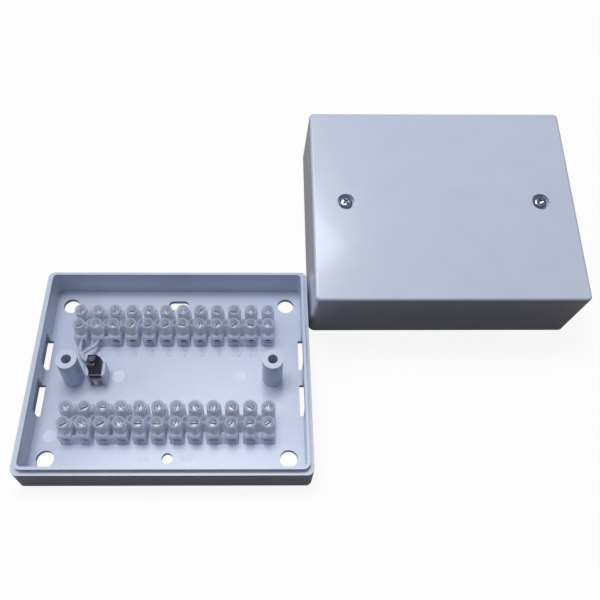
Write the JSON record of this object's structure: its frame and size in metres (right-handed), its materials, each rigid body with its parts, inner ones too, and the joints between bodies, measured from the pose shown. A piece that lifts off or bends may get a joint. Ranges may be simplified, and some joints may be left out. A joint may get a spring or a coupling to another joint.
{
  "type": "terminal strip junction box",
  "caption": "Shallow wall box holding two terminal strips and a tamper switch, with its deep screw-on cover taken off and lying beside it.",
  "frame": {"origin": "centre of the base's underside, on the wall face, midway between the four corner fixing holes", "axes": "+X along the box's long side to the right, +Y to the rear, +Z out of the wall, up through the open tray"},
  "size_m": [0.2527, 0.1769, 0.058],
  "materials": {
    "base_shell": "moulded white plastic, satin gloss",
    "cover_shell": "moulded white plastic, polished gloss",
    "cover_screw_steel": "bright zinc plate",
    "strip_plastic": "translucent moulded plastic",
    "insert_metal": "nickel-plated brass",
    "clamp_screw_steel": "bright zinc plate",
    "switch_plastic": "black moulded plastic",
    "contact_metal": "tinned metal",
    "wire_sheath": "pale soft insulation"
  },
  "bodies": {
    "box": {"base_tray": "base_shell", "cover": "cover_shell", "cover_screws": "cover_screw_steel", "upper_strip_body": "strip_plastic", "upper_strip_insert_01": "insert_metal", "upper_strip_insert_02": "insert_metal", "upper_strip_insert_03": "insert_metal", "upper_strip_insert_04": "insert_metal", "upper_strip_insert_05": "insert_metal", "upper_strip_insert_06": "insert_metal", "upper_strip_insert_07": "insert_metal", "upper_strip_insert_08": "insert_metal", "upper_strip_insert_09": "insert_metal", "upper_strip_insert_10": "insert_metal", "upper_strip_insert_11": "insert_metal", "upper_strip_insert_12": "insert_metal", "upper_strip_front_screws": "clamp_screw_steel", "upper_strip_rear_screws": "clamp_screw_steel", "lower_strip_body": "strip_plastic", "lower_strip_insert_01": "insert_metal", "lower_strip_insert_02": "insert_metal", "lower_strip_insert_03": "insert_metal", "lower_strip_insert_04": "insert_metal", "lower_strip_insert_05": "insert_metal", "lower_strip_insert_06": "insert_metal", "lower_strip_insert_07": "insert_metal", "lower_strip_insert_08": "insert_metal", "lower_strip_insert_09": "insert_metal", "lower_strip_insert_10": "insert_metal", "lower_strip_insert_11": "insert_metal", "lower_strip_insert_12": "insert_metal", "lower_strip_front_screws": "clamp_screw_steel", "lower_strip_rear_screws": "clamp_screw_steel", "tamper_switch_body": "switch_plastic", "tamper_contact_plate": "contact_metal", "tamper_switch_tags": "contact_metal", "switch_wire_first": "wire_sheath", "switch_wire_second": "wire_sheath"},
    "plunger": {"tamper_plunger": "switch_plastic"}
  },
  "joints": [
    {"name": "tamper_plunger_slide", "type": "slide", "parent": "box", "child": "plunger", "axis": [0, 0, 1], "range_m": [-0.0015, 0], "stiffness_N_per_m": 200, "springref_m": 0.0005}
  ]
}
